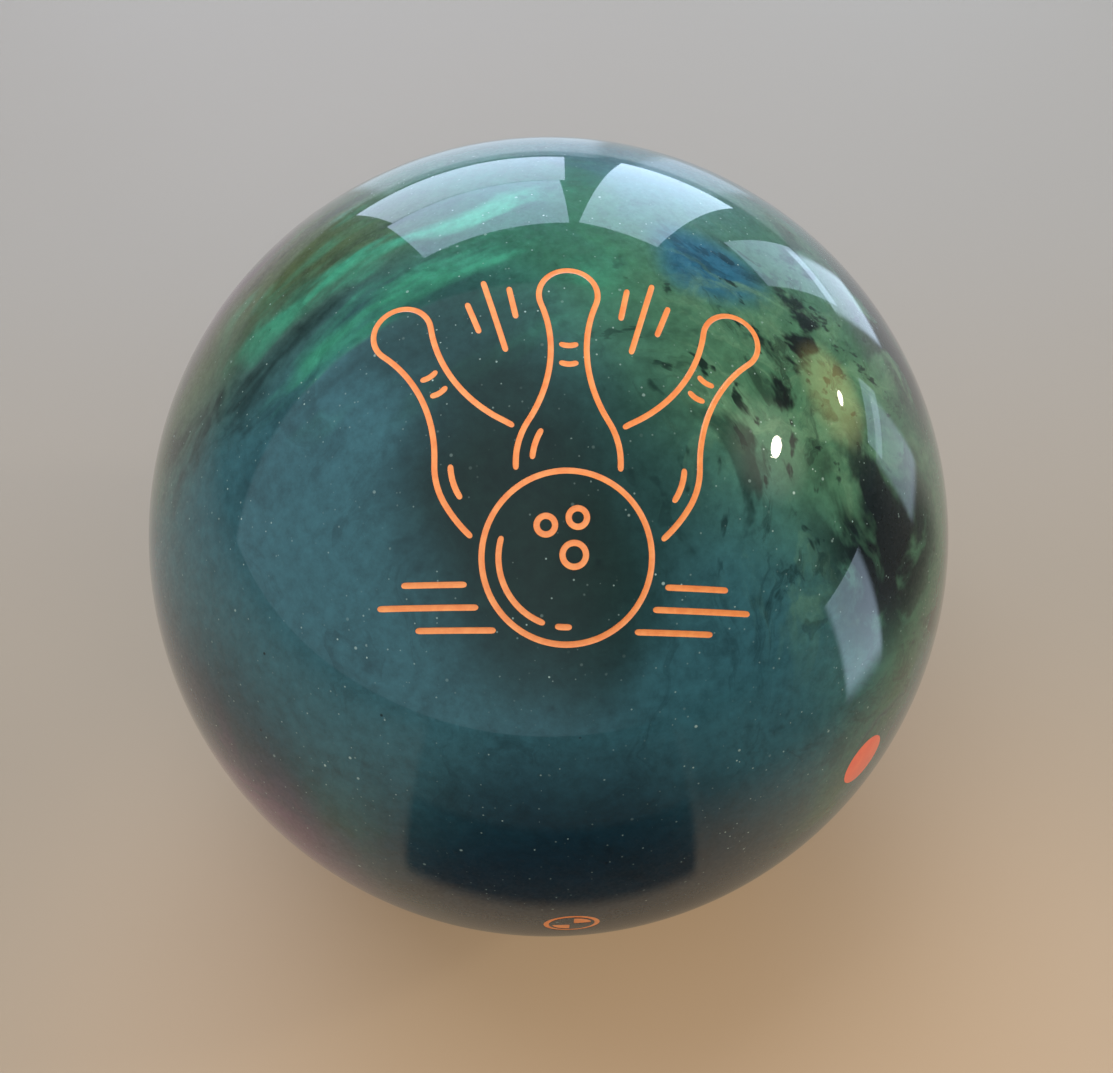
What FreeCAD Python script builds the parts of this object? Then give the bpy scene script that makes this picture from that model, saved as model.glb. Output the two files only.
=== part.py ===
import FreeCAD, Part
import math
import os

# Undrilled three-piece tournament bowling ball with a pearl reactive cover.
# Millimetres. Origin at the centre of the ball, +Z up as it stands at rest.
# The emblem faces the front (-Y) and up. Directions on the ball are given as
# (azimuth, elevation) in degrees: azimuth from +X towards +Y, elevation from
# the horizontal plane.

# ---- the three nested pieces
BALL_DIA = 217.0            # tournament rules allow 215.9 to 218.3
COVER_THICKNESS = 22.5
R = BALL_DIA / 2
FILLER_R = R - COVER_THICKNESS

# ---- places on the ball
EMBLEM_AT = (-90.0, 61.5)
EMBLEM_TURN = -4.5          # about its own centre, anticlockwise seen from outside
PIN_AT = (-50.0, 6.0)       # end of the core's long axis
CG_AT = (-91.5, -8.0)       # heaviest point of the cover

# ---- orange plugs and engraved lines
PIN_DIA = 14.0
PLUG_DIA = 9.0
LINE_WIDTH = 1.4
GROOVE_DEPTH = 1.0
ENAMEL_RECESS = 0.12        # the enamel shrinks a little below the cover
CUTTER_RISE = 1.5           # groove cutters stand this far out of the cover

# ---- weight block: (radius, height towards the pin) along its outline
BLOCK_OUTLINE = [(0, -53), (24, -53), (38, -36), (41, -22), (41, -10), (28, -2),
                 (28, 16), (34, 22), (34, 33), (21, 52), (0, 52)]
BLOCK_EDGE_R = 3.5
INSERT_R = 14.0
INSERT_ENDS = (-36.0, 34.0)
FLIP_OUTER_R = 54.0
FLIP_ENDS = (-1.0, 15.0)
FLIP_HALF_ANGLE = 40.0
FLIP_EDGE_R = 3.0

# ---- emblem: one skittle outline, (half width, height above its foot)
HEAD_R = 6.2
HEAD_UP = 57.6
NECK_R = 3.7
NECK_UP = 44.5
BELLY_R = 10.6
BELLY_UP = 20.5
LOWER_ARC_R = 30.0
BAND_UP = (41.2, 45.4)
BAND_HALF = 1.5
MIDDLE_FOOT = (0.0, -23.4)
SIDE_FOOT = (5.2, -23.5)
SIDE_TILT = 31.0
# emblem: the rolling ball
EM_BALL_AT = (0.0, -22.0)
EM_BALL_R = 17.2
EM_HOLES = [(-4.4, -15.8, 1.9), (2.0, -14.2, 1.9), (1.4, -21.6, 2.4)]
EM_SHEEN_INSET = 3.4
EM_SHEENS = [(165, 250), (263, 273)]
# emblem: three impact rays a side as (angle from upright, start, end)
EM_RAYS = [(12.2, 52, 59), (16.8, 45, 62), (21.4, 51, 58)]
# emblem: three lane lines a side as (height, start, end)
EM_LANES = [(-27.5, 20.6, 33.0), (-32.0, 18.2, 38.0), (-36.5, 14.6, 30.0)]

# ---- small round marks
CG_RING_R = 6.2
CG_WEDGE_R = 4.4
CG_WEDGE_GAP = 0.6
MASS_BIAS_DOT_R = 2.6

O = FreeCAD.Vector(0, 0, 0)


# ------------------------------------------------------------ directions

def heading(azimuth, elevation):
    a = math.radians(azimuth)
    e = math.radians(elevation)
    return FreeCAD.Vector(math.cos(e) * math.cos(a), math.cos(e) * math.sin(a), math.sin(e))


def unit(v):
    return FreeCAD.Vector(v).normalize()


def matrix(x, y, z):
    """Turns a local frame into one with these three axes."""
    return FreeCAD.Matrix(x.x, y.x, z.x, 0, x.y, y.y, z.y, 0, x.z, y.z, z.z, 0, 0, 0, 0, 1)


def facing(out, turn=0.0):
    """A drawing plane through the centre: x to the east, y to the north, z to out."""
    east = unit(FreeCAD.Vector(0, 0, 1).cross(out))
    east = FreeCAD.Rotation(out, turn).multVec(east)
    return matrix(east, out.cross(east), out)


# ------------------------------------------------------------ plane drawing

def polar(centre, radius, degrees):
    a = math.radians(degrees)
    return centre[0] + radius * math.cos(a), centre[1] + radius * math.sin(a)


def arc(centre, radius, start, end):
    return tuple(polar(centre, radius, a) for a in (start, (start + end) / 2, end))


def line(start, end):
    middle = ((start[0] + end[0]) / 2, (start[1] + end[1]) / 2)
    return start, middle, end


def mirrored(piece):
    """The same piece on the other side of the upright axis, still joined end to end."""
    return tuple((-u, v) for u, v in reversed(piece))


def placed(pieces, foot, tilt):
    """Pieces drawn upright, leaned clockwise by tilt and stood on foot."""
    t = math.radians(tilt)

    def moved(p):
        return (foot[0] + p[0] * math.cos(t) + p[1] * math.sin(t),
                foot[1] - p[0] * math.sin(t) + p[1] * math.cos(t))

    return [tuple(moved(p) for p in piece) for piece in pieces]


# The neck arc touches the round head, and the belly arc touches the neck arc.
NECK_ARC_R = (NECK_R ** 2 + (HEAD_UP - NECK_UP) ** 2 - HEAD_R ** 2) / (2 * (HEAD_R - NECK_R))
NECK_ARC_AT = (NECK_R + NECK_ARC_R, NECK_UP)
_ACROSS = NECK_ARC_AT[0] - BELLY_R
_UP = NECK_UP - BELLY_UP
BELLY_ARC_R = (_ACROSS ** 2 + _UP ** 2 - NECK_ARC_R ** 2) / (2 * (NECK_ARC_R - _ACROSS))
BELLY_ARC_AT = (BELLY_R - BELLY_ARC_R, BELLY_UP)
LOWER_ARC_AT = (BELLY_R - LOWER_ARC_R, BELLY_UP)
JOIN_ANGLE = math.degrees(math.atan2(_UP, NECK_ARC_AT[0] - BELLY_ARC_AT[0]))
HEAD_ANGLE = math.degrees(math.atan2(HEAD_UP - NECK_UP, NECK_ARC_AT[0]))


def skittle_side(start):
    """Right side from start up to the head. A start below 0 lies on the lower arc."""
    pieces = []
    if start < 0:
        pieces.append(arc(LOWER_ARC_AT, LOWER_ARC_R, start, 0))
    pieces.append(arc(BELLY_ARC_AT, BELLY_ARC_R, max(start, 0), JOIN_ANGLE))
    pieces.append(arc(NECK_ARC_AT, NECK_ARC_R, 180 + JOIN_ANGLE, 180 - HEAD_ANGLE))
    return pieces


def skittle(right_start, left_start):
    """One open outline: up the right side, over the head and down the left side."""
    head = [arc((0, HEAD_UP), HEAD_R, -HEAD_ANGLE, 90),
            arc((0, HEAD_UP), HEAD_R, 90, 180 + HEAD_ANGLE)]
    left = [mirrored(piece) for piece in reversed(skittle_side(left_start))]
    return skittle_side(right_start) + head + left


def neck_bands(foot, tilt):
    bands = []
    for up in BAND_UP:
        sag = (-BAND_HALF, up + 0.3), (0, up), (BAND_HALF, up + 0.3)
        bands.append(placed([sag], foot, tilt))
    return bands


def belly_sheen(foot, tilt, start, end):
    return placed([arc(BELLY_ARC_AT, BELLY_ARC_R - 3.3, start, end)], foot, tilt)


def flipped(stroke):
    return [mirrored(piece) for piece in reversed(stroke)]


def ray_strokes():
    strokes = []
    for angle, start, end in EM_RAYS:
        stroke = [line(polar(EM_BALL_AT, start, 90 - angle), polar(EM_BALL_AT, end, 90 - angle))]
        strokes += [stroke, flipped(stroke)]
    return strokes


def lane_strokes():
    strokes = []
    for v, start, end in EM_LANES:
        stroke = [line((start, v), (end, v))]
        strokes += [stroke, flipped(stroke)]
    return strokes


# ------------------------------------------------------------ strokes as solids

def flat(point):
    return FreeCAD.Vector(point[0], point[1], 0)


def straight_outline(start, end):
    """Outline of one straight stroke: two sides and two round ends."""
    along = unit(end - start)
    half = FreeCAD.Vector(-along.y, along.x, 0) * (LINE_WIDTH / 2)
    tip = along * (LINE_WIDTH / 2)
    edges = [Part.makeLine(start + half, end + half),
             Part.Arc(end + half, end + tip, end - half).toShape(),
             Part.makeLine(end - half, start - half),
             Part.Arc(start - half, start - tip, start + half).toShape()]
    return Part.Wire(edges)


def stroke_face(pieces):
    """Flat face of a stroke along arcs that join smoothly, or along one straight line."""
    if len(pieces) == 1 and is_straight(pieces[0]):
        return Part.Face(straight_outline(flat(pieces[0][0]), flat(pieces[0][2])))
    arcs = [Part.Arc(*[flat(p) for p in piece]).toShape() for piece in pieces]
    return Part.Face(Part.Wire(arcs).makeOffset2D(LINE_WIDTH / 2, 0, False, False))


def is_straight(piece):
    start, middle, end = [flat(p) for p in piece]
    return (middle - start).cross(end - start).Length < 1e-6


def circle_face(centre, radius):
    edge = Part.makeCircle(radius, flat(centre), FreeCAD.Vector(0, 0, 1))
    return Part.Face(Part.Wire(edge))


def ring_face(centre, radius):
    half = LINE_WIDTH / 2
    return circle_face(centre, radius + half).cut(circle_face(centre, radius - half)).Faces[0]


def quadrant_face(radius, start):
    """A quarter disc, moved off the middle so that two opposite ones don't touch."""
    corner = flat(polar((0, 0), CG_WEDGE_GAP, start + 45))
    first, middle, last = [corner + flat(polar((0, 0), radius, start + a)) for a in (0, 45, 90)]
    edges = [Part.makeLine(corner, first), Part.Arc(first, middle, last).toShape(),
             Part.makeLine(last, corner)]
    return Part.Face(Part.Wire(edges))


# ------------------------------------------------------------ what is drawn

PIN_DIR = heading(*PIN_AT)


def mass_bias_dir():
    """A quarter turn from the pin, on through the centre of gravity mark."""
    cg = heading(*CG_AT)
    return unit(cg - PIN_DIR * PIN_DIR.dot(cg))


def emblem_faces():
    """Flat faces of the emblem, one list for each group of lines."""
    side_skittle = placed(skittle(-16.0, 25.5), SIDE_FOOT, SIDE_TILT)
    side_bands = neck_bands(SIDE_FOOT, SIDE_TILT)
    side_sheen = belly_sheen(SIDE_FOOT, SIDE_TILT, -2, 28)
    bands = neck_bands(MIDDLE_FOOT, 0) + side_bands + [flipped(s) for s in side_bands]
    sheens = [flipped(belly_sheen(MIDDLE_FOOT, 0, 4, 30)), side_sheen, flipped(side_sheen)]
    strokes = {
        "emblem_ball_sheen": [[arc(EM_BALL_AT, EM_BALL_R - EM_SHEEN_INSET, a, b)]
                              for a, b in EM_SHEENS],
        "emblem_middle_skittle": [placed(skittle(-2.5, -2.5), MIDDLE_FOOT, 0)],
        "emblem_right_skittle": [side_skittle],
        "emblem_left_skittle": [flipped(side_skittle)],
        "emblem_neck_bands": bands,
        "emblem_skittle_sheens": sheens,
        "emblem_rays": ray_strokes(),
        "emblem_lane_lines": lane_strokes(),
    }
    faces = {name: [stroke_face(s) for s in group] for name, group in strokes.items()}
    faces["emblem_ball_outline"] = [ring_face(EM_BALL_AT, EM_BALL_R)]
    faces["emblem_finger_holes"] = [ring_face((u, v), r) for u, v, r in EM_HOLES]
    return faces


def engraved():
    """Every engraved area: its drawing plane and its flat faces."""
    emblem = facing(heading(*EMBLEM_AT), EMBLEM_TURN)
    cg = facing(heading(*CG_AT))
    areas = {name: (emblem, faces) for name, faces in emblem_faces().items()}
    areas["cg_mark_ring"] = (cg, [ring_face((0, 0), CG_RING_R)])
    areas["cg_mark_quadrants"] = (cg, [quadrant_face(CG_WEDGE_R, a) for a in (0, 180)])
    areas["mass_bias_mark"] = (facing(mass_bias_dir()), [circle_face((0, 0), MASS_BIAS_DOT_R)])
    return areas


def prism(face, plane):
    """A flat face pushed straight out of its drawing plane, well past the cover."""
    rise = FILLER_R * 0.8
    body = face.translated(FreeCAD.Vector(0, 0, rise)).extrude(FreeCAD.Vector(0, 0, 2 * R - rise))
    return body.transformed(plane)


def groove_cutter(face, plane):
    return prism(face, plane).cut(ball(R - GROOVE_DEPTH)).Solids[0]


def bead(face, plane):
    """The enamel in one groove, with a domed floor and a domed top."""
    shell = ball(R - ENAMEL_RECESS).cut(ball(R - GROOVE_DEPTH))
    return prism(face, plane).common(shell).Solids[0]


# ------------------------------------------------------------ the ball

def ball(radius):
    """A solid ball whose seam lies underneath, away from every mark."""
    shape = Part.makeSphere(radius)
    shape.rotate(O, FreeCAD.Vector(0, 1, 0), 90)
    return shape


def in_ball(shape):
    """Places a piece of the core: its z axis to the pin, its x axis to the mass bias."""
    x = mass_bias_dir()
    return shape.transformed(matrix(x, PIN_DIR.cross(x), PIN_DIR))


def turned_solid(outline):
    """A solid of revolution about the core's z axis."""
    points = [FreeCAD.Vector(r, 0, z) for r, z in outline]
    wire = Part.makePolygon(points + points[:1])
    return Part.Face(wire).revolve(O, FreeCAD.Vector(0, 0, 1), 360)


def round_rims(solid, radius):
    """Rounds every circular rim between two turned faces."""
    rims = [e for e in solid.Edges if isinstance(e.Curve, Part.Circle)]
    return solid.makeFillet(radius, rims)


def insert_local():
    low, high = INSERT_ENDS
    z = FreeCAD.Vector(0, 0, 1)
    body = Part.makeCylinder(INSERT_R, high - low, FreeCAD.Vector(0, 0, low), z)
    return round_rims(body, 4.0)


def weight_block_local():
    block = round_rims(turned_solid(BLOCK_OUTLINE), BLOCK_EDGE_R)
    return block.cut(insert_local())


def flip_block_local():
    """Side block that hugs the waist of the weight block on the mass bias side."""
    low, high = FLIP_ENDS
    waist = BLOCK_OUTLINE[5][0]
    outline = [(waist, low), (FLIP_OUTER_R, low), (FLIP_OUTER_R, high), (waist, high)]
    points = [FreeCAD.Vector(r, 0, z) for r, z in outline]
    face = Part.Face(Part.makePolygon(points + points[:1]))
    z = FreeCAD.Vector(0, 0, 1)
    face.rotate(O, z, -FLIP_HALF_ANGLE)
    solid = face.revolve(O, z, 2 * FLIP_HALF_ANGLE)
    outer = [e for e in solid.Edges if e.CenterOfMass.x > waist + FLIP_EDGE_R]
    return solid.makeFillet(FLIP_EDGE_R, outer)


def rod(diameter, r_in, r_out):
    """A straight rod along the pin axis, trimmed by the balls of the two radii."""
    body = Part.makeCylinder(diameter / 2, r_out + 10, O, PIN_DIR)
    return body.common(ball(r_out)).cut(ball(r_in)) if r_in else body.common(ball(r_out))


def core_pin_plug():
    """Closes the hole of the rod that held the weight block while the filler was cast."""
    top = max(z for _, z in BLOCK_OUTLINE)
    body = Part.makeCylinder(PLUG_DIA / 2, FILLER_R, PIN_DIR * top, PIN_DIR)
    return body.common(ball(FILLER_R))


def outer_core():
    hole = core_pin_plug()
    solid = ball(FILLER_R)
    for inner in (weight_block_local(), insert_local(), flip_block_local()):
        solid = solid.cut(in_ball(inner))
    return solid.cut(hole)


def coverstock():
    cutters = [rod(PIN_DIA, FILLER_R - CUTTER_RISE, R + CUTTER_RISE)]
    for plane, faces in engraved().values():
        cutters += [groove_cutter(face, plane) for face in faces]
    return ball(R).cut(ball(FILLER_R)).cut(cutters).Solids[0]


def pieces():
    shapes = {
        "coverstock": coverstock(),
        "outer_core": outer_core(),
        "weight_block": in_ball(weight_block_local()),
        "core_insert": in_ball(insert_local()),
        "flip_block": in_ball(flip_block_local()),
        "core_pin_plug": core_pin_plug(),
        "pin": rod(PIN_DIA, FILLER_R, R),
    }
    for name, (plane, faces) in engraved().items():
        beads = [bead(face, plane) for face in faces]
        shapes[name] = beads[0] if len(beads) == 1 else Part.makeCompound(beads)
    return shapes


os.makedirs("parts", exist_ok=True)
for node, shape in pieces().items():
    shape.exportStep(os.path.join("parts", node + ".step"))
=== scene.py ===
import math

import bpy
import numpy as np
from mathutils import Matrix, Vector, kdtree
from mathutils.geometry import delaunay_2d_cdt


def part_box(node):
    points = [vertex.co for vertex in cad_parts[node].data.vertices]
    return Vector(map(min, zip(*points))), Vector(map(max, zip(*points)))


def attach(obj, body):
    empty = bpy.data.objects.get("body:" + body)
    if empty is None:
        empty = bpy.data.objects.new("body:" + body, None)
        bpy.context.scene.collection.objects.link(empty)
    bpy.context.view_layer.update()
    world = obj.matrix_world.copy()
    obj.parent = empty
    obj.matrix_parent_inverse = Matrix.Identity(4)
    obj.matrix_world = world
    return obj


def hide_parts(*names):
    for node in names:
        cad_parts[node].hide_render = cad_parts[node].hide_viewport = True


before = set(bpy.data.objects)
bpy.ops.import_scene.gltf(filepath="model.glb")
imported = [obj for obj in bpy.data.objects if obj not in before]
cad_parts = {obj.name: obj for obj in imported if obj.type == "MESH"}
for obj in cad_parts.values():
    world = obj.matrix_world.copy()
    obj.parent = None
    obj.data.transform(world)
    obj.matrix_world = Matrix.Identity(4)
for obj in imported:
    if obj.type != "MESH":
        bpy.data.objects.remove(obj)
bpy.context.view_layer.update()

MM = 0.001
ENAMEL_RECESS = 0.12 * MM
GROOVE_DEPTH = 1.0 * MM
ROUND_TO = 5        # decimals of a metre: the CAD boxes are rounded to 0.01 mm


def sphere_radius(node):
    """Radius of a CAD sphere round the origin, from its box."""
    return round(max(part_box(node)[1]), ROUND_TO)


BALL_R = sphere_radius("coverstock")
FILLER_R = sphere_radius("outer_core")
ENAMEL_TOP_R = BALL_R - ENAMEL_RECESS
GROOVE_FLOOR_R = BALL_R - GROOVE_DEPTH

EMBLEM_NODES = [
    "emblem_ball_outline", "emblem_ball_sheen", "emblem_finger_holes",
    "emblem_middle_skittle", "emblem_right_skittle", "emblem_left_skittle",
    "emblem_neck_bands", "emblem_skittle_sheens", "emblem_rays", "emblem_lane_lines",
]
LINE_NODES = EMBLEM_NODES + ["cg_mark_ring", "cg_mark_quadrants", "mass_bias_mark"]


# ------------------------------------------------------------ reading outlines

WELD = 0.001 * MM       # vertices this close are one
ON_FACE = 0.015 * MM    # a vertex this close to a sphere lies on it
LEAST_LOOP_POINTS = 14
SMOOTHING_ROUNDS = 3


def welded(node):
    """Vertices and triangles of a CAD node, with doubled vertices joined."""
    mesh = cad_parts[node].data
    mesh.calc_loop_triangles()
    co = np.empty(len(mesh.vertices) * 3, np.float32)
    mesh.vertices.foreach_get("co", co)
    tri = np.empty(len(mesh.loop_triangles) * 3, np.int32)
    mesh.loop_triangles.foreach_get("vertices", tri)
    keys = np.round(co.reshape(-1, 3).astype(float) / WELD).astype(np.int64)
    unique, inverse = np.unique(keys, axis=0, return_inverse=True)
    tri = inverse.reshape(-1)[tri.reshape(-1, 3)]
    keep = (tri[:, 0] != tri[:, 1]) & (tri[:, 1] != tri[:, 2]) & (tri[:, 2] != tri[:, 0])
    return unique * WELD, tri[keep]


def outlines(node, radius):
    """Closed outlines of the node's face at this radius, with the face on their left."""
    points, tris = welded(node)
    on_face = np.abs(np.linalg.norm(points, axis=1) - radius) < ON_FACE
    top = tris[on_face[tris].all(axis=1)]
    directed = set()
    for a, b, c in top.tolist():
        directed.update(((a, b), (b, c), (c, a)))
    following = {a: b for a, b in directed if (b, a) not in directed}
    loops = []
    while following:
        start = min(following)
        loop = [start]
        step = following.pop(start)
        while step != start:
            loop.append(step)
            step = following.pop(step)
        loops.append(points[loop])
    return loops


def unit_rows(rows):
    """Each row scaled to length 1."""
    return rows / np.linalg.norm(rows, axis=1, keepdims=True)


def middle(rows):
    """The mean direction of some points."""
    return unit_rows(rows.mean(axis=0)[None])[0]


def numbered(loops):
    """For each loop, the numbers of its points in a list that holds the loops one by one."""
    marks, first = [], 0
    for loop in loops:
        marks.append(list(range(first, first + len(loop))))
        first += len(loop)
    return marks


def even_loop(points, spacing):
    """The same closed loop with evenly spaced points, as directions from the centre."""
    closed = np.vstack([points, points[:1]])
    along = np.concatenate([[0], np.cumsum(np.linalg.norm(np.diff(closed, axis=0), axis=1))])
    count = max(LEAST_LOOP_POINTS, int(round(along[-1] / spacing)))
    at = np.linspace(0, along[-1], count, endpoint=False)
    even = np.column_stack([np.interp(at, along, closed[:, k]) for k in range(3)])
    for _ in range(SMOOTHING_ROUNDS):
        even = (np.roll(even, 1, axis=0) + 2 * even + np.roll(even, -1, axis=0)) / 4
    return unit_rows(even)


def inward(loop):
    """Unit vectors along the ball's surface from a loop towards the area on its left."""
    ahead = np.roll(loop, -1, axis=0) - np.roll(loop, 1, axis=0)
    return unit_rows(np.cross(loop, ahead))


def moved_in(loop, distance):
    """The loop moved along the ball's surface towards the area on its left."""
    return unit_rows(loop * BALL_R + inward(loop) * distance)


# ------------------------------------------------------------ meshing a sphere

ROW_PITCH = 0.866               # rows of an even triangle grid, as a share of its spacing
SAME_POINT = 1e-9
SHARP_ANGLE = math.radians(50)
NEARLY_UPRIGHT = 0.9            # z of an axis too close to +Z to be crossed with it


def even_directions(spacing, radius):
    """Directions a spacing apart on a sphere of this radius, on a spiral of golden angles."""
    count = int(4 * math.pi * radius ** 2 / (spacing ** 2 * ROW_PITCH))
    k = np.arange(count) + 0.5
    z = 1 - 2 * k / count
    angle = k * math.pi * (3 - math.sqrt(5))
    flat = np.sqrt(1 - z * z)
    return np.column_stack([flat * np.cos(angle), flat * np.sin(angle), z])


def axis_frame(axis):
    """Two directions square to an axis, and the axis."""
    side = np.cross(axis, [0.0, 0.0, 1.0] if abs(axis[2]) < NEARLY_UPRIGHT else [1.0, 0.0, 0.0])
    side /= np.linalg.norm(side)
    return side, np.cross(axis, side), axis


def far_from(points, others, distance):
    """The points that are at least a distance from every other point."""
    tree = kdtree.KDTree(len(others))
    for i, p in enumerate(others):
        tree.insert(p, i)
    tree.balance()
    keep = [tree.find(p)[2] >= distance for p in points]
    return points[np.array(keep, bool)]


def away_from_axis(points, axis, angle):
    """The points whose direction is more than an angle away from an axis."""
    return points[points @ axis < math.cos(angle)]


def triangulate(directions, loops, axis):
    """Triangles over directions seen from axis, and how many loops each one lies inside.

    Circles on the sphere stay circles in this projection, so the triangles are well shaped.
    """
    e1, e2, e3 = axis_frame(axis)
    scale = 2 / (1 + directions @ e3)
    flat = np.column_stack([directions @ e1 * scale, directions @ e2 * scale])
    edges = []
    for loop in loops:
        edges += list(zip(loop, loop[1:] + loop[:1]))
    out = delaunay_2d_cdt([Vector(p) for p in flat.tolist()], edges, [], 0, SAME_POINT)
    source = [ids[0] for ids in out[3]]
    tris = np.array([[source[i] for i in face] for face in out[2]], int)
    walls = {(min(e), max(e)) for e in edges}
    beside = {}
    for t, (a, b, c) in enumerate(tris.tolist()):
        for edge in ((a, b), (b, c), (c, a)):
            beside.setdefault((min(edge), max(edge)), []).append(t)
    rim = [edge for edge, ts in beside.items() if len(ts) == 1]
    inside = np.full(len(tris), -1)
    todo = [beside[rim[0]][0]]
    inside[todo[0]] = 0
    while todo:
        t = todo.pop()
        a, b, c = tris[t].tolist()
        for edge in ((a, b), (b, c), (c, a)):
            edge = (min(edge), max(edge))
            for other in beside[edge]:
                if inside[other] < 0:
                    inside[other] = (inside[t] + (edge in walls)) % 2
                    todo.append(other)
    return tris, inside, rim


def with_far_side(tris, rim, far_point):
    """Closes the gap behind the projection with a fan to one point."""
    directed = set()
    for a, b, c in tris.tolist():
        directed.update(((a, b), (b, c), (c, a)))
    fan = [(b, a, far_point) if (a, b) in directed else (a, b, far_point) for a, b in rim]
    return np.vstack([tris, np.array(fan, int)])


class Build:
    """Collects vertices, normals and faces of one mesh."""

    def __init__(self):
        self.points, self.normals, self.faces = [], [], []
        self.count = 0

    def add(self, points, normals):
        """Adds vertices and gives their numbers."""
        first = self.count
        self.points.append(np.asarray(points, float))
        self.normals.append(np.asarray(normals, float))
        self.count += len(points)
        return list(range(first, self.count))

    def skin(self, ring, next_ring):
        """Faces between two loops with as many points, the second further in or down."""
        n = len(ring)
        for i in range(n):
            j = (i + 1) % n
            self.faces.append((ring[i], ring[j], next_ring[j], next_ring[i]))

    def object(self, name, keep_normals=False):
        """The mesh as an object, shaded by its own normals or sharp only at steep edges."""
        mesh = bpy.data.meshes.new(name)
        points = np.vstack(self.points)
        mesh.from_pydata(points.tolist(), [], [tuple(map(int, f)) for f in self.faces])
        mesh.validate()
        mesh.polygons.foreach_set("use_smooth", [True] * len(mesh.polygons))
        if keep_normals:
            mesh.normals_split_custom_set_from_vertices(np.vstack(self.normals).tolist())
        else:
            mesh.set_sharp_from_angle(angle=SHARP_ANGLE)
        mesh.update()
        obj = bpy.data.objects.new(name, mesh)
        bpy.context.scene.collection.objects.link(obj)
        return obj


# ------------------------------------------------------------ the cover

LOOP_SPACING = 0.32 * MM
COVER_SPACING = 2.3 * MM
HOLLOW_SPACING = 6 * MM
GUARD_ROWS = [(0.45 * MM, 2), (1.1 * MM, 3)]    # distance from a groove, one point in so many
GUARD_SHARE = 0.93              # of that distance: guard points nearer to any loop are left out
PLAIN_GAP = 0.9 * MM            # from a guard row to the evenly spread points
FAR_GAP = 0.6 * COVER_SPACING   # round the point behind the projection
HOLLOW_GAP = 2.5 * MM
HOLLOW_FAR_GAP = 3.5 * MM
# Rounded lip of a groove: (distance in, depth, how far the normal has turned from out to in)
LIP = [(0.035 * MM, 0.012 * MM, 0.40), (0.075 * MM, 0.045 * MM, 0.75), (0.09 * MM, 0.09 * MM, 1.0)]
PIN_LIP_SHARE = 0.3

line_loops = {node: [even_loop(p, LOOP_SPACING) for p in outlines(node, ENAMEL_TOP_R)]
              for node in LINE_NODES}
pin_loop = even_loop(outlines("pin", BALL_R)[0], LOOP_SPACING)
pin_axis = middle(pin_loop)
emblem_axis = middle(np.vstack([loop for node in EMBLEM_NODES for loop in line_loops[node]]))


def straight_down(loop, radius):
    """The loop pushed straight in along the hole's own axis, to a smaller radius."""
    axis = middle(loop)
    p = loop * BALL_R
    along = p @ axis
    across2 = (p * p).sum(axis=1) - along ** 2
    return unit_rows(p + np.outer(np.sqrt(radius ** 2 - across2) - along, axis))


def angle_to_pin_axis(loop):
    """Angle between the pin's axis and a circle round it."""
    return math.acos(float(loop[0] @ pin_axis))


def cover_directions(loops, far_point):
    """Points of the outer face: the loops, guard rows round them, and evenly spread ones."""
    edges = np.vstack(loops)
    guards = []
    for distance, step in GUARD_ROWS:
        row = np.vstack([moved_in(loop, -distance)[::step] for loop in loops])
        guards.append(far_from(row, edges, GUARD_SHARE * distance / BALL_R))
    near = np.vstack([edges] + guards)
    plain = far_from(even_directions(COVER_SPACING, BALL_R), near, PLAIN_GAP / BALL_R)
    plain = away_from_axis(plain, far_point, FAR_GAP / BALL_R)
    plain = away_from_axis(plain, pin_axis, angle_to_pin_axis(pin_loop))
    return np.vstack([near, plain])


def add_lip(b, loop, ids, share=1.0):
    """The rounded lip of a groove or hole. Gives its last ring and that ring's vertices."""
    towards = inward(loop)
    for offset, drop, turn in LIP:
        ring = moved_in(loop, offset * share)
        turned = turn * math.pi / 2
        normals = unit_rows(loop * math.cos(turned) + towards * math.sin(turned))
        ring_ids = b.add(ring * (BALL_R - drop * share), normals)
        b.skin(ids, ring_ids)
        ids = ring_ids
    return ring, ids


def add_hollow(b, rim_loop, rim_ids):
    """The inner face of the cover, from the lower end of the pin's hole."""
    spread = far_from(even_directions(HOLLOW_SPACING, FILLER_R), rim_loop, HOLLOW_GAP / FILLER_R)
    spread = away_from_axis(spread, pin_axis, angle_to_pin_axis(rim_loop))
    spread = away_from_axis(spread, -pin_axis, HOLLOW_FAR_GAP / FILLER_R)
    tris, inside, rim = triangulate(np.vstack([rim_loop, spread]), numbered([rim_loop]), pin_axis)
    ids = rim_ids + b.add(spread * FILLER_R, -spread) + b.add([-pin_axis * FILLER_R], [pin_axis])
    faces = with_far_side(tris[inside == 0], rim, len(ids) - 1)
    b.faces += [(ids[i], ids[k], ids[j]) for i, j, k in faces.tolist()]


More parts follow.
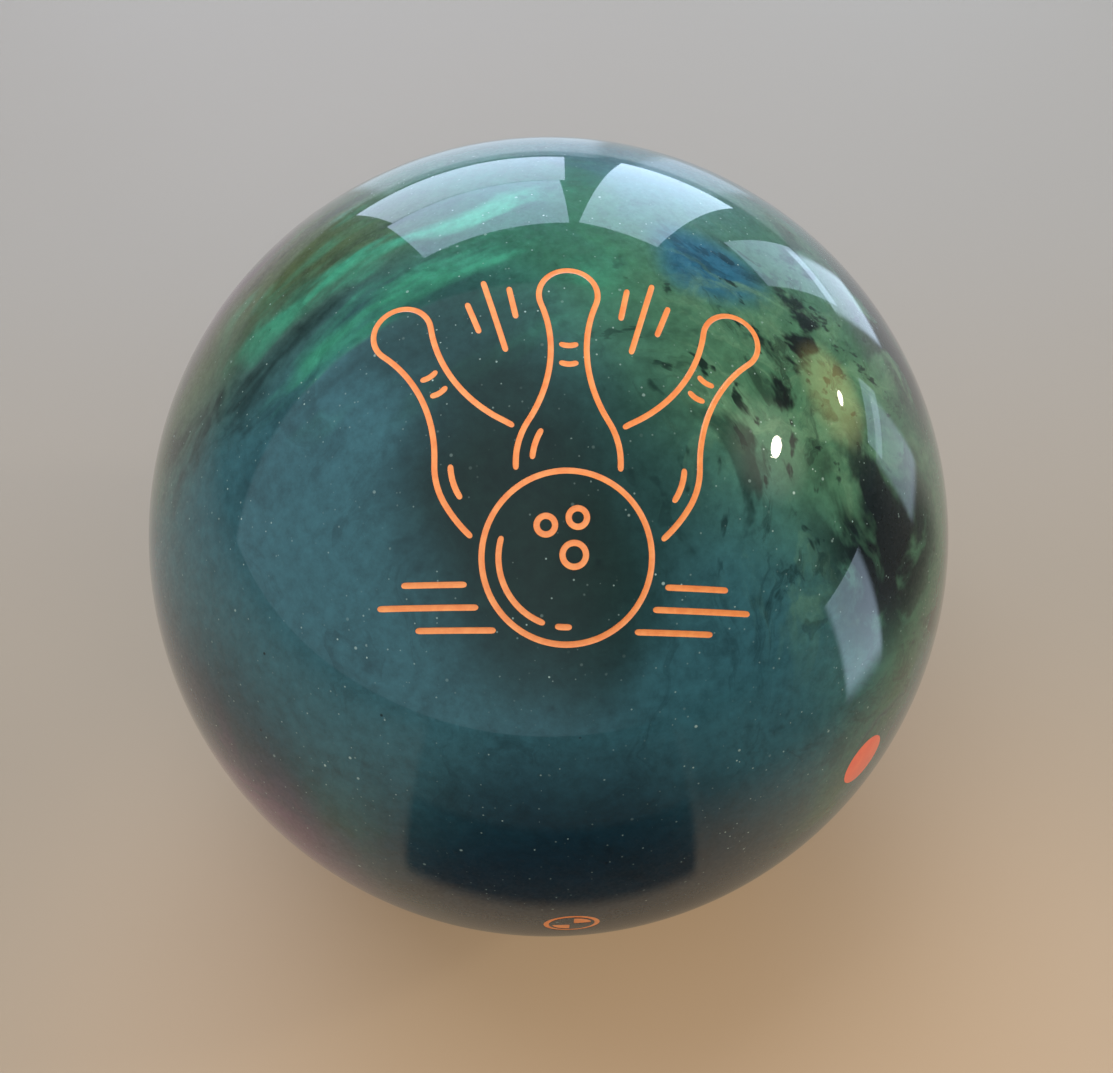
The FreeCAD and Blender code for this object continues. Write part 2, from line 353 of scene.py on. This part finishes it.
def build_cover():
    """One closed skin: outer face, rounded grooves, the pin's hole and the hollow."""
    loops = [loop for node in LINE_NODES for loop in line_loops[node]] + [pin_loop]
    far_point = -emblem_axis
    directions = cover_directions(loops, far_point)
    marks = numbered(loops)
    pin_ids = marks[-1]
    tris, inside, rim = triangulate(directions, marks, emblem_axis)
    sunk = tris[inside == 1]
    sunk = sunk[(sunk < pin_ids[0]).any(axis=1) | (sunk > pin_ids[-1]).any(axis=1)]
    between = np.unique(sunk[sunk > pin_ids[-1]])
    radii = np.full(len(directions), BALL_R)
    radii[between] = GROOVE_FLOOR_R

    b = Build()
    b.add(directions * radii[:, None], directions)
    far_id = b.add([far_point * BALL_R], [far_point])[0]
    b.faces += with_far_side(tris[inside == 0], rim, far_id).tolist()
    floor_of = {i: i for i in between.tolist()}
    for loop, ids in zip(loops[:-1], marks[:-1]):
        ring, ring_ids = add_lip(b, loop, ids)
        floor_ids = b.add(ring * GROOVE_FLOOR_R, inward(loop))
        b.skin(ring_ids, floor_ids)
        floor_of.update(zip(ids, floor_ids))
    b.faces += [tuple(floor_of[i] for i in tri) for tri in sunk.tolist()]

    ring, ring_ids = add_lip(b, pin_loop, pin_ids, PIN_LIP_SHARE)
    foot = straight_down(ring, FILLER_R)
    foot_ids = b.add(foot * FILLER_R, inward(pin_loop))
    b.skin(ring_ids, foot_ids)
    add_hollow(b, foot, foot_ids)
    return b.object("cover_pearl", keep_normals=True)


# ------------------------------------------------------------ enamel and the pin

RING_REACH = 1.4        # times the angle that the loops reach
RING_MARGIN = 0.01
RING_POINTS = 24
BEAD_ROW_SHARE = 0.9    # of a row's distance: points nearer to the bead's edge are left out
# Face of a bead: (distance in from the groove's edge, depth below the ball's surface)
ENAMEL_FACE = [(0.09 * MM, 0.075 * MM), (0.20 * MM, 0.115 * MM), (0.36 * MM, 0.15 * MM),
               (0.56 * MM, 0.165 * MM)]


def ring_round(directions, axis):
    """A ring of helper points well outside, so that the triangles reach round every loop."""
    e1, e2, e3 = axis_frame(axis)
    reach = float(np.arccos(np.clip(directions @ axis, -1, 1)).max()) * RING_REACH + RING_MARGIN
    turn = np.linspace(0, 2 * math.pi, RING_POINTS, endpoint=False)
    return (np.outer(np.cos(turn), e1) + np.outer(np.sin(turn), e2)) * math.sin(reach) \
        + e3 * math.cos(reach)


def build_bead(name, loops):
    """Closed beads of enamel: a face that sags a little, and sides down to the groove's floor."""
    (edge_in, edge_depth), inner = ENAMEL_FACE[0], ENAMEL_FACE[1:]
    edges = [moved_in(loop, edge_in) for loop in loops]
    rows = [np.vstack(edges)]
    radii = [np.full(len(rows[0]), BALL_R - edge_depth)]
    for distance, depth in inner:
        row = np.vstack([moved_in(loop, distance)[::2] for loop in loops])
        rows.append(far_from(row, rows[0], BEAD_ROW_SHARE * (distance - edge_in) / BALL_R))
        radii.append(np.full(len(rows[-1]), BALL_R - depth))
    directions = np.vstack(rows)
    marks = numbered(edges)
    axis = middle(rows[0])
    tris, inside, _ = triangulate(np.vstack([directions, ring_round(directions, axis)]), marks, axis)
    tris = tris[inside == 1].tolist()
    b = Build()
    b.add(directions * np.concatenate(radii)[:, None], directions)
    low = b.add(directions * GROOVE_FLOOR_R, -directions)
    b.faces += tris
    b.faces += [(low[i], low[k], low[j]) for i, j, k in tris]
    for ids in marks:
        b.skin([low[i] for i in ids], ids)
    return b.object(name)


PIN_RINGS = (0.03, 0.6, 1.6, 2.8, 4.0, 5.2, 6.2)     # distances in from its edge, mm


def build_pin():
    """The plug through the cover: a domed face, straight sides and a foot on the filler."""
    rings = [moved_in(pin_loop, d * MM) for d in PIN_RINGS]
    b = Build()
    ids = [b.add(ring * BALL_R, ring) for ring in rings]
    for outer, inner in zip(ids, ids[1:]):
        b.skin(outer, inner)
    foot = straight_down(rings[0], FILLER_R)
    low = b.add(foot * FILLER_R, -foot)
    b.skin(low, ids[0])
    top = b.add([pin_axis * BALL_R], [pin_axis])[0]
    bottom = b.add([pin_axis * FILLER_R], [-pin_axis])[0]
    for i in range(len(low)):
        b.faces.append((ids[-1][i], ids[-1][i - len(low) + 1], top))
        b.faces.append((low[i - len(low) + 1], low[i], bottom))
    return b.object("pin_orange")


cover = build_cover()
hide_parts("coverstock")
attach(cover, "root")
beads = []
for node in LINE_NODES:
    bead = build_bead(node + "_enamel", line_loops[node])
    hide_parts(node)
    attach(bead, "root")
    beads.append(bead)
pin = build_pin()
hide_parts("pin")
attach(pin, "root")


# ------------------------------------------------------------ node building

class Graph:
    """Short names for building one node tree."""

    def __init__(self, tree):
        self.tree = tree
        self.place = self.node("ShaderNodeTexCoord").outputs["Object"]

    def node(self, kind, inputs=None, **settings):
        """A new node with these settings, and these values or links on its inputs."""
        node = self.tree.nodes.new(kind)
        for key, value in settings.items():
            setattr(node, key, value)
        for key, value in (inputs or {}).items():
            self.set(node.inputs[key], value)
        return node

    def set(self, socket, value):
        """Links a socket to another one, or gives it a value."""
        if isinstance(value, bpy.types.NodeSocket):
            self.tree.links.new(value, socket)
        else:
            socket.default_value = value

    def math(self, operation, *values):
        node = self.node("ShaderNodeMath", operation=operation)
        for i, value in enumerate(values):
            self.set(node.inputs[i], value)
        return node.outputs[0]

    def add(self, a, b):
        return self.math("ADD", a, b)

    def minus(self, a, b):
        return self.math("SUBTRACT", a, b)

    def times(self, first, *others):
        for other in others:
            first = self.math("MULTIPLY", first, other)
        return first

    def most(self, first, *others):
        """The largest of some values, and 1 at most."""
        for other in others:
            first = self.math("MAXIMUM", first, other)
        return self.math("MINIMUM", first, 1.0)

    def vec(self, operation, *values):
        node = self.node("ShaderNodeVectorMath", operation=operation)
        for i, value in enumerate(values):
            name = "Scale" if operation == "SCALE" and i == 1 else i
            self.set(node.inputs[name], value)
        return node.outputs["Value" if operation in ("DOT_PRODUCT", "LENGTH") else 0]

    def xyz(self, vector):
        return self.node("ShaderNodeSeparateXYZ", {"Vector": vector}).outputs

    def noise(self, at, scale, detail=4.0, rough=0.55, distort=0.0, out="Fac", seed=None):
        node = self.node("ShaderNodeTexNoise", {"Scale": scale, "Detail": detail,
                                                "Roughness": rough, "Distortion": distort})
        self.set(node.inputs["Vector"], at if seed is None else self.vec("ADD", at, seed))
        return node.outputs[out]

    def voronoi(self, at, scale, out="Distance"):
        node = self.node("ShaderNodeTexVoronoi", {"Scale": scale})
        self.set(node.inputs["Vector"], at)
        return node.outputs[out]

    def wander(self, at, scale, detail, rough, size, seed):
        """A soft random offset, to bend a pattern with."""
        noise = self.noise(at, scale, detail, rough, out="Color", seed=seed)
        return self.vec("SCALE", self.vec("SUBTRACT", noise, (0.5, 0.5, 0.5)), size)

    def brushed(self, at, along, scale_along, scale_across):
        """The place stretched so that a pattern on it runs in one direction."""
        part = self.times(self.vec("DOT_PRODUCT", at, along), scale_along - scale_across)
        return self.vec("ADD", self.vec("SCALE", at, scale_across), self.vec("SCALE", along, part))

    def step(self, value, low, high, to_low=0.0, to_high=1.0):
        """Smooth change from to_low to to_high as value goes from low to high."""
        node = self.node("ShaderNodeMapRange", interpolation_type="SMOOTHSTEP")
        for key, v in (("Value", value), ("From Min", low), ("From Max", high),
                       ("To Min", to_low), ("To Max", to_high)):
            self.set(node.inputs[key], v)
        return node.outputs[0]

    def near(self, direction, azimuth, elevation, inner, outer, strength=1.0):
        """Strength within inner degrees of a heading, falling to 0 at outer degrees."""
        cosine = self.vec("DOT_PRODUCT", direction, heading(azimuth, elevation))
        return self.step(cosine, math.cos(math.radians(outer)), math.cos(math.radians(inner)),
                         0.0, strength)

    def mix(self, amount, a, b, blend="MIX"):
        node = self.node("ShaderNodeMix", data_type="RGBA", blend_type=blend)
        colours = [socket for socket in node.inputs if socket.type == "RGBA"]
        self.set(node.inputs[0], amount)
        self.set(colours[0], a)
        self.set(colours[1], b)
        return [socket for socket in node.outputs if socket.type == "RGBA"][0]

    def bump(self, height, distance, strength):
        return self.node("ShaderNodeBump", {"Height": height, "Distance": distance,
                                            "Strength": strength}).outputs[0]


class Material(Graph):
    def __init__(self, name):
        self.material = bpy.data.materials.new(name)
        self.material.use_nodes = True
        super().__init__(self.material.node_tree)

    def surface(self, **values):
        """Sets the surface shader's inputs, with _ for a space, and gives the material."""
        shader = self.tree.nodes["Principled BSDF"]
        for key, value in values.items():
            self.set(shader.inputs[key.replace("_", " ")], value)
        return self.material


def rgb(r, g, b):
    return (r, g, b, 1.0)


def heading(azimuth, elevation):
    """Unit direction from two angles in degrees, azimuth 0 along +X."""
    a, e = math.radians(azimuth), math.radians(elevation)
    return (math.cos(e) * math.cos(a), math.cos(e) * math.sin(a), math.sin(e))


# ------------------------------------------------------------ the pearl cover

BLACK = rgb(0.0, 0.0, 0.0)
WHITE = rgb(1.0, 1.0, 1.0)
EMERALD = rgb(0.024, 0.135, 0.070)
EMERALD_LIGHT = rgb(0.060, 0.365, 0.208)
GREY_GREEN = rgb(0.070, 0.190, 0.105)
PALE_GREEN = rgb(0.150, 0.300, 0.170)
OLIVE_DARK = rgb(0.095, 0.120, 0.036)
SLATE = rgb(0.040, 0.128, 0.150)
TEAL = rgb(0.036, 0.130, 0.158)
BLUE = rgb(0.016, 0.120, 0.220)
NAVY = rgb(0.003, 0.022, 0.038)
NEAR_BLACK = rgb(0.006, 0.020, 0.014)
BLACK_GREEN = rgb(0.001, 0.006, 0.008)
PLUM = rgb(0.230, 0.040, 0.150)
FLECK = rgb(0.50, 0.66, 0.60)
STROKES_ALONG = tuple(Vector((0.87, 0.39, 0.31)).normalized())

# Where a colour lies on the ball: colour, azimuth, elevation, full within and gone at these
# degrees, strength. Later ones lie over earlier ones.
COLOUR_ZONES = [
    (EMERALD, -165, 66, 6, 48, 1.0), (OLIVE_DARK, 172, 50, 6, 34, 0.85),
    (GREY_GREEN, -30, 50, 12, 46, 1.0), (TEAL, -74, 28, 8, 34, 1.0), (SLATE, -125, 42, 14, 44, 1.0),
    # The NAVY zone at azimuth 95 is partly painted shade: navy pearl that also darkens the back and
    # underside, which the windows light from behind.
    (NAVY, -92, 0, 12, 38, 0.97), (NAVY, -142, 4, 4, 26, 0.8), (NAVY, 95, -18, 15, 62, 0.6),
]
COLOUR_ZONES_OVER_STROKES = [
    (NEAR_BLACK, -97, 52, 4, 21, 0.7), (NEAR_BLACK, -124, 67, 2, 13, 0.6),
    (NEAR_BLACK, -108, 57, 2, 13, 0.6), (NEAR_BLACK, -104, 50, 2, 12, 0.75),
    (NEAR_BLACK, -96, 44, 2, 12, 0.65), (BLUE, -4, 71, 3, 9, 0.85),
]


def cover_colour(g, place, warp):
    """Clouds, brushed strokes, dark blots and veins, each in its own part of the ball."""
    flow = g.vec("ADD", place, warp)
    swirl = g.vec("ADD", flow, g.wander(flow, 3.2, 4.0, 0.6, 0.35, (9.2, 0.4, 5.5)))
    bent = g.vec("NORMALIZE", g.vec("ADD", place, g.vec("SCALE", warp, 0.55)))
    brushed = g.brushed(g.vec("ADD", place, g.vec("SCALE", warp, 0.25)), STROKES_ALONG, 1.6, 9.0)

    clouds = g.noise(swirl, 1.5, 5.0, 0.6, 0.6)
    streaks = g.noise(g.vec("MULTIPLY", swirl, (1.0, 2.6, 1.4)), 2.3, 6.0, 0.62, 1.2)
    strokes = g.noise(brushed, 1.0, 3.0, 0.55, 0.3, seed=(4.4, 1.2, 6.1))
    veins = g.noise(g.vec("MULTIPLY", swirl, (1.6, 1.0, 1.3)), 3.1, 7.0, 0.66, 1.6)
    blots = g.noise(flow, 6.0, 4.0, 0.55, 0.0, seed=(2.2, 5.1, 8.4))
    spatter = g.noise(flow, 17.0, 3.0, 0.5, 0.0, seed=(7.2, 3.1, 0.4))

    colour = g.mix(g.step(clouds, 0.40, 0.60), SLATE, EMERALD)
    for tint, *zone in COLOUR_ZONES:
        colour = g.mix(g.near(bent, *zone), colour, tint)
    bright = g.most(g.times(g.near(bent, -172, 73, 3, 27), g.step(strokes, 0.48, 0.68)),
                    g.times(g.near(bent, 75, -8, 6, 58, 0.50), g.step(streaks, 0.48, 0.68)))
    colour = g.mix(bright, colour, EMERALD_LIGHT)
    between = g.times(g.near(bent, 176, 52, 6, 34), g.step(strokes, 0.50, 0.34, 0.0, 0.7))
    colour = g.mix(between, colour, BLACK_GREEN)
    for tint, *zone in COLOUR_ZONES_OVER_STROKES:
        colour = g.mix(g.near(bent, *zone), colour, tint)
    pale = g.times(g.near(bent, -27, 52, 4, 34, 0.8), g.step(streaks, 0.47, 0.66))
    colour = g.mix(pale, colour, PALE_GREEN)

    right = g.near(bent, -20, 38, 4, 46)
    rim = g.most(g.near(bent, -34, 35, 3, 17), g.near(bent, 6, 38, 4, 20))
    dark = g.most(g.times(g.step(veins, 0.52, 0.66), g.add(0.25, g.times(right, 0.45))),
                  g.times(g.step(blots, 0.56, 0.66), g.add(0.10, right)),
                  g.times(g.step(spatter, 0.60, 0.68), g.near(bent, -34, 56, 8, 34, 0.9)),
                  g.times(g.step(blots, 0.36, 0.50), rim))
    colour = g.mix(dark, colour, BLACK_GREEN)
    plum = g.most(g.near(bent, 140, 28, 5, 36), g.near(bent, -150, -18, 8, 40))
    return g.mix(g.times(plum, g.step(clouds, 0.32, 0.50), 0.9), colour, PLUM)


def flecks(g, scale, share, reach, offset):
    """Scattered mica flecks: a share of random cells, lit near their middle."""
    at = g.vec("ADD", g.place, offset)
    parts = g.node("ShaderNodeSeparateColor", {"Color": g.voronoi(at, scale, out="Color")}).outputs
    return g.times(g.math("GREATER_THAN", parts[0], 1 - share),
                   g.step(g.voronoi(at, scale), reach, reach * 0.5),
                   g.math("POWER", parts[1], 1.5))


def cover_material():
    """Dark pearl resin under a clear polish, with mica flecks, inclusions and fine scratches."""
    g = Material("pearl_cover")
    place = g.vec("SCALE", g.place, 1 / BALL_R)
    warp = g.wander(place, 1.1, 3.0, 0.5, 0.9, (3.1, 7.7, 1.3))
    colour = cover_colour(g, place, warp)
    grain = g.mix(g.noise(g.place, 300.0, 5.0, 0.68), BLACK, WHITE)
    colour = g.mix(0.55, colour, grain, "OVERLAY")
    specks = g.add(g.voronoi(g.place, 30.0), g.times(g.noise(g.place, 420.0, 3.0), 0.05))
    colour = g.mix(g.step(specks, 0.085, 0.045, 0.0, 0.95), colour, BLACK_GREEN)
    drifts = g.step(g.noise(place, 3.4, 4.0, 0.6, 0.3, seed=(5.0, 1.0, 7.0)), 0.38, 0.62, 0.25, 1.0)
    mica = g.most(flecks(g, 1500.0, 0.030, 0.40, (0.0, 0.0, 0.0)),
                  flecks(g, 800.0, 0.012, 0.36, (0.1, 0.2, 0.3)))
    colour = g.mix(g.times(mica, drifts), colour, FLECK)
    pits = g.step(g.voronoi(g.place, 62.0), 0.030, 0.012)
    colour = g.mix(g.times(pits, 0.8), colour, BLACK_GREEN)

    tilt = g.vec("SUBTRACT", g.voronoi(g.place, 1400.0, out="Color"), (0.5, 0.5, 0.5))
    outward = g.node("ShaderNodeNewGeometry").outputs["Normal"]
    flake_normal = g.vec("NORMALIZE", g.vec("ADD", outward, g.vec("SCALE", tilt, 0.10)))
    wiped = g.vec("MULTIPLY", g.vec("ADD", g.place, g.vec("SCALE", warp, 0.01)), (1.0, 14.0, 5.0))
    scratches = g.step(g.noise(wiped, 160.0, 2.0, 0.5), 0.66, 0.72)
    haze = g.noise(place, 2.6, 5.0, 0.6, 0.4, seed=(1.0, 4.0, 2.0))
    coat_rough = g.add(g.step(haze, 0.45, 0.75, 0.010, 0.045), g.times(scratches, 0.03))
    coat_normal = g.bump(g.minus(g.times(scratches, -0.10), pits), 0.03 * MM, 0.5)
    return g.surface(Base_Color=colour, Metallic=0.25, Roughness=0.45, Normal=flake_normal,
                     Coat_Weight=1.0, Coat_Roughness=coat_rough, Coat_IOR=1.45,
                     Coat_Normal=coat_normal, Specular_IOR_Level=0.1)


# ------------------------------------------------------------ the other materials

def enamel_material():
    """Fluorescent orange enamel, slightly clouded and grained, with a faint painted glow for its
    fluorescence.
    """
    g = Material("orange_enamel")
    tone = g.noise(g.place, 420.0, 4.0, 0.6)
    cloud = g.noise(g.place, 60.0, 3.0, 0.6, 0.5)
    colour = g.mix(g.step(tone, 0.3, 0.7), rgb(0.86, 0.250, 0.070), rgb(0.96, 0.340, 0.105))
    colour = g.mix(g.step(cloud, 0.45, 0.75, 0.0, 0.5), colour, rgb(0.78, 0.190, 0.045))
    return g.surface(Base_Color=colour, Roughness=g.step(cloud, 0.3, 0.7, 0.28, 0.45),
                     Normal=g.bump(tone, 0.05 * MM, 0.35), Coat_Weight=0.3, Coat_Roughness=0.2,
                     # Painted glow: the emission stands in for the enamel's fluorescence.
                     Emission_Color=rgb(1.0, 0.26, 0.05), Emission_Strength=0.07)


def pin_material():
    """Fluorescent orange resin with faint swirls and darker specks, polished with the cover, with a
    faint painted glow for its fluorescence.
    """
    g = Material("orange_pin_resin")
    swirl = g.noise(g.place, 130.0, 4.0, 0.6, 1.5)
    colour = g.mix(g.step(swirl, 0.35, 0.7), rgb(0.86, 0.085, 0.015), rgb(0.94, 0.130, 0.028))
    colour = g.mix(g.step(g.voronoi(g.place, 900.0), 0.12, 0.05, 0.0, 0.5), colour,
                   rgb(0.45, 0.05, 0.015))
    return g.surface(Base_Color=colour, Roughness=0.4, Coat_Weight=1.0,
                     Coat_Roughness=g.step(swirl, 0.3, 0.8, 0.015, 0.05), Coat_IOR=1.45,
                     # Painted glow: the emission stands in for the resin's fluorescence.
                     Emission_Color=rgb(1.0, 0.055, 0.010), Emission_Strength=0.18)


def cast_material(name, dark, light, grain, rough):
    """Cast filled resin: clouded colour, filler grains and a finely pitted skin."""
    g = Material(name)
    cloud = g.noise(g.place, 28.0, 5.0, 0.62, 0.8)
    colour = g.mix(g.step(cloud, 0.35, 0.68), dark, light)
    colour = g.mix(g.step(g.voronoi(g.place, grain), 0.30, 0.12, 0.0, 0.45), colour,
                   rgb(0.85, 0.83, 0.78))
    pits = g.step(g.voronoi(g.place, grain * 0.45), 0.16, 0.06)
    colour = g.mix(g.times(pits, 0.6), colour, rgb(0.03, 0.028, 0.025))
    height = g.minus(g.times(cloud, 0.5), pits)
    return g.surface(Base_Color=colour, Roughness=g.step(cloud, 0.3, 0.7, rough, rough + 0.15),
                     Normal=g.bump(height, 0.3 * MM, 0.6))


# Carried-over pieces of the inside: dark and light tone, grains in a metre, roughness
CAST = {
    "outer_core": (rgb(0.52, 0.46, 0.35), rgb(0.68, 0.62, 0.50), 700.0, 0.55),
    "weight_block": (rgb(0.20, 0.030, 0.028), rgb(0.36, 0.075, 0.060), 900.0, 0.42),
    "core_insert": (rgb(0.040, 0.040, 0.045), rgb(0.110, 0.110, 0.115), 900.0, 0.40),
    "flip_block": (rgb(0.42, 0.27, 0.030), rgb(0.62, 0.46, 0.085), 800.0, 0.42),
    "core_pin_plug": (rgb(0.62, 0.58, 0.48), rgb(0.76, 0.73, 0.64), 800.0, 0.45),
}


def give(obj, material):
    obj.data.materials.clear()
    obj.data.materials.append(material)


give(cover, cover_material())
give(pin, pin_material())
enamel = enamel_material()
for bead in beads:
    give(bead, enamel)
for node, look in CAST.items():
    give(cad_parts[node], cast_material(node + "_resin", *look))


# ------------------------------------------------------------ floor, light, camera

CAMERA_AZIMUTH = -94.5
CAMERA_ELEVATION = 52.0
CAMERA_DISTANCE = 3.4 * BALL_R
FOCAL_OVER_WIDTH = 1.168
SHIFT_OVER_WIDTH = 0.0072
SENSOR_WIDTH = 36.0
FLOOR_SIZE = 12.0
SKY = (0.60, 0.78, 1.0)
DEEP_SKY = (0.58, 0.70, 1.0)
SUN = (1.0, 0.90, 0.72)
OVERHEAD = (1.0, 0.98, 0.95)
WARM = (1.0, 0.90, 0.78)

# A faint painted glow on the floor that fills the ball's shadow, and how fast it fades along x, y
# and z
SHADOW_GLOW_AT = (0.04, -0.14, -BALL_R)
SHADOW_GLOW_FADE = (0.95, 1.3, 1.0)

# Painted beams of light on the floor, seen only where the polish mirrors it: seen from x, y;
# between two headings; from this far out; strength
FLOOR_BEAMS = [(0.073, -0.034, 13, 26, 0.50, 1.3), (0.062, 0.002, 41, 53, 0.62, 2.4),
               (0.063, -0.070, -21, -6, 0.34, 3.0), (0.0, 0.030, 80, 106, 0.42, 0.55),
               (0.020, 0.030, 65, 75, 0.50, 0.55)]

# Area lights: name, azimuth, elevation, distance, width, height, power, colour
WINDOWS = [("window_left_low", 97.5, 10, 2.2, 1.10, 0.62, 7.5, (0.64, 0.76, 1.0)),
           ("window_left_high", 98.5, 28.5, 2.2, 1.12, 0.80, 12.0, DEEP_SKY),
           ("window_right", 69, 19, 2.2, 0.62, 1.45, 13.5, SKY),
           ("low_window", 47.5, 9, 2.2, 0.44, 0.86, 2.6, SKY),
           ("side_strip", 20, 0.5, 2.2, 0.50, 0.22, 0.6, SKY)]
LAMPS = [("side_glint", -4.3, 32.4, 1.8, 0.17, 0.09, 2.6, SUN),
         ("side_lamp", 18, 12.5, 1.8, 0.10, 0.05, 0.45, SUN)]
NOT_MIRRORED = [("overhead", 120, 70, 1.8, 1.6, 1.2, 19, OVERHEAD),
                ("front_fill", -80, 48, 1.8, 1.4, 1.0, 11, WARM)]

# The room that the polish mirrors. The ceiling lies on the side that CEILING_SIDE points to.
ROOM = rgb(0.07, 0.08, 0.09)
CEILING = rgb(0.50, 0.60, 0.68)
CEILING_SIDE = (-0.092, -0.839, 0.538)
# Soft glow round a lamp: azimuth, elevation, reach in degrees, colour
GLOWS = [(-4.3, 32.4, 14, rgb(1.6, 1.5, 1.25)), (19.5, 12.5, 12, rgb(2.6, 2.4, 0.9))]


def wedge(g, x, y, start, end, soft=1.2):
    """1 between two headings, in degrees, seen from a point of the floor."""
    across, along, _ = g.xyz(g.place)
    turn = g.math("DEGREES", g.math("ARCTAN2", g.minus(along, y), g.minus(across, x)))
    return g.times(g.step(turn, start - soft, start + soft), g.step(turn, end + soft, end - soft))


def floor_material():
    """Pale floor, warmer to the front, where a faint painted glow fills the ball's shadow.

    Only as the polish mirrors it, it also has painted shade, dark in front and dim to the
    right, and painted beams of light.
    """
    g = Material("pale_floor")
    along = g.xyz(g.place)[1]
    mirrored = g.node("ShaderNodeLightPath").outputs["Is Glossy Ray"]
    colour = g.mix(g.step(along, 0.30, -0.12), rgb(0.385, 0.350, 0.315), rgb(0.415, 0.325, 0.238))
    colour = g.mix(g.times(g.noise(g.place, 3.0, 4.0, 0.5), 0.16), colour, rgb(0.24, 0.20, 0.16))
    # Painted shade, seen only in the polish: a dark patch of floor in front of the ball.
    shade = g.times(wedge(g, 0.0, 0.0, -122, -66), g.step(along, -0.135, -0.165),
                    g.step(along, -0.30, -0.35, 0.98, 0.72))
    colour = g.mix(g.times(shade, mirrored), colour, rgb(0.0, 0.015, 0.03))
    # Painted shade, seen only in the polish: the floor to the right grows dim further out.
    far = g.vec("LENGTH", g.place)
    dim = g.times(wedge(g, 0.0, 0.0, -66, 14, 4.0), g.step(far, 0.22, 0.42, 0.0, 0.75))
    colour = g.mix(g.times(dim, mirrored), colour, rgb(0.010, 0.016, 0.016))

    # Painted light: a faint warm glow fills the ball's shadow on the floor, weaker where the polish
    # mirrors it.
    from_glow = g.vec("MULTIPLY", g.vec("SUBTRACT", g.place, SHADOW_GLOW_AT), SHADOW_GLOW_FADE)
    shadow_fill_glow = g.times(g.step(g.vec("LENGTH", from_glow), 0.30, 0.02, 0.0, 0.20),
                   g.minus(1.0, g.times(mirrored, 0.75)))
    # Painted reflections: beams of light lie on the floor, seen only in the polish.
    beams = 0.0
    for x, y, start, end, reach, strength in FLOOR_BEAMS:
        beam = g.times(wedge(g, x, y, start, end), g.step(far, reach, reach + 0.10, 0.0, strength))
        beams = g.add(beams, beam)
    beams = g.times(beams, mirrored)
    glow = g.mix(g.step(beams, 0.0, 0.05), rgb(1.0, 0.52, 0.19), rgb(0.62, 0.80, 1.0))
    return g.surface(Base_Color=colour, Roughness=0.55, Specular_IOR_Level=0.1,
                     Emission_Color=glow, Emission_Strength=g.add(shadow_fill_glow, beams))


def add_floor():
    h = FLOOR_SIZE / 2
    mesh = bpy.data.meshes.new("floor")
    mesh.from_pydata([(x, y, -BALL_R) for x, y in ((-h, -h), (h, -h), (h, h), (-h, h))], [],
                     [(0, 1, 2, 3)])
    mesh.materials.append(floor_material())
    floor = bpy.data.objects.new("floor", mesh)
    bpy.context.scene.collection.objects.link(floor)


def aim(obj, azimuth, elevation, distance):
    """Puts a light or camera in a direction from the ball's centre, looking at it."""
    bpy.context.scene.collection.objects.link(obj)
    away = Vector(heading(azimuth, elevation))
    obj.location = away * distance
    obj.rotation_euler = away.to_track_quat("Z", "Y").to_euler()


def softbox(shape, name, azimuth, elevation, distance, width, height, power, colour):
    """An area light that looks at the ball from a direction."""
    data = bpy.data.lights.new(name, "AREA")
    data.shape = shape
    data.size = width
    data.size_y = height
    data.energy = power
    data.color = colour
    light = bpy.data.objects.new(name, data)
    aim(light, azimuth, elevation, distance)
    return light


def add_lights():
    for box in WINDOWS:
        softbox("RECTANGLE", *box)
    for box in LAMPS:
        softbox("ELLIPSE", *box)
    for box in NOT_MIRRORED:
        softbox("RECTANGLE", *box).visible_glossy = False


def add_world():
    """A dim room: a pale ceiling with a straight edge, to the left, and glows round lamps."""
    world = bpy.data.worlds.new("studio")
    world.use_nodes = True
    bpy.context.scene.world = world
    g = Graph(world.node_tree)
    ray = g.node("ShaderNodeTexCoord").outputs["Generated"]
    ceiling = g.times(g.step(g.vec("DOT_PRODUCT", ray, CEILING_SIDE), -0.01, 0.02),
                      g.step(g.xyz(ray)[0], 0.45, -0.15))
    colour = g.mix(ceiling, ROOM, CEILING)
    for azimuth, elevation, reach, tint in GLOWS:
        colour = g.mix(g.near(ray, azimuth, elevation, 0, reach), colour, tint)
    g.set(world.node_tree.nodes["Background"].inputs["Color"], colour)


def add_camera():
    data = bpy.data.cameras.new("camera")
    data.sensor_width = SENSOR_WIDTH
    data.lens = FOCAL_OVER_WIDTH * SENSOR_WIDTH
    data.shift_x = SHIFT_OVER_WIDTH
    camera = bpy.data.objects.new("camera", data)
    aim(camera, CAMERA_AZIMUTH, CAMERA_ELEVATION, CAMERA_DISTANCE)
    bpy.context.scene.camera = camera


add_floor()
add_lights()
add_world()
add_camera()
bpy.context.scene.view_settings.view_transform = "Standard"
